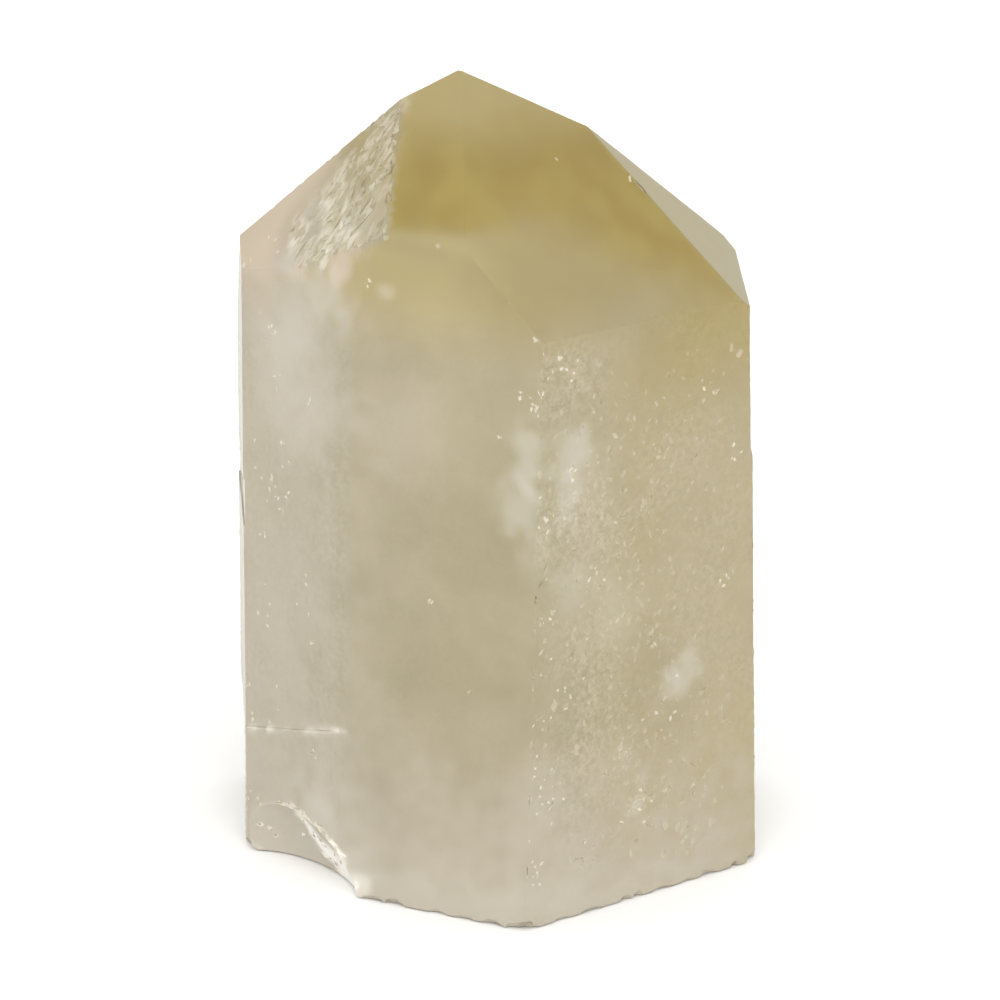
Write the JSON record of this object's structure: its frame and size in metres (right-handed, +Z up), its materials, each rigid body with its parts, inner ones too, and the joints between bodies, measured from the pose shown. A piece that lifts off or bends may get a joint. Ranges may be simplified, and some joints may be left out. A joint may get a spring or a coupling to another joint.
{
  "type": "smoky quartz point",
  "caption": "Single quartz crystal point with a six-sided prism, a faceted golden tip, a pitted face and a flat-cut foot to stand on; a mineral display piece.",
  "frame": {"origin": "centre of the flat-cut foot's bounding box, on the surface that the crystal stands on", "axes": "+Z up along the crystal's growth axis to the tip, -Y to the front with the large smooth face, +X to the right with the rough face"},
  "size_m": [0.0554, 0.0572, 0.086],
  "materials": {
    "quartz": "milky translucent quartz, pale smoky yellow with a golden tip; smooth glassy growth faces, one pitted tip face, rough sugary right faces"
  },
  "bodies": {
    "root": {"quartz_point": "quartz"}
  },
  "joints": []
}
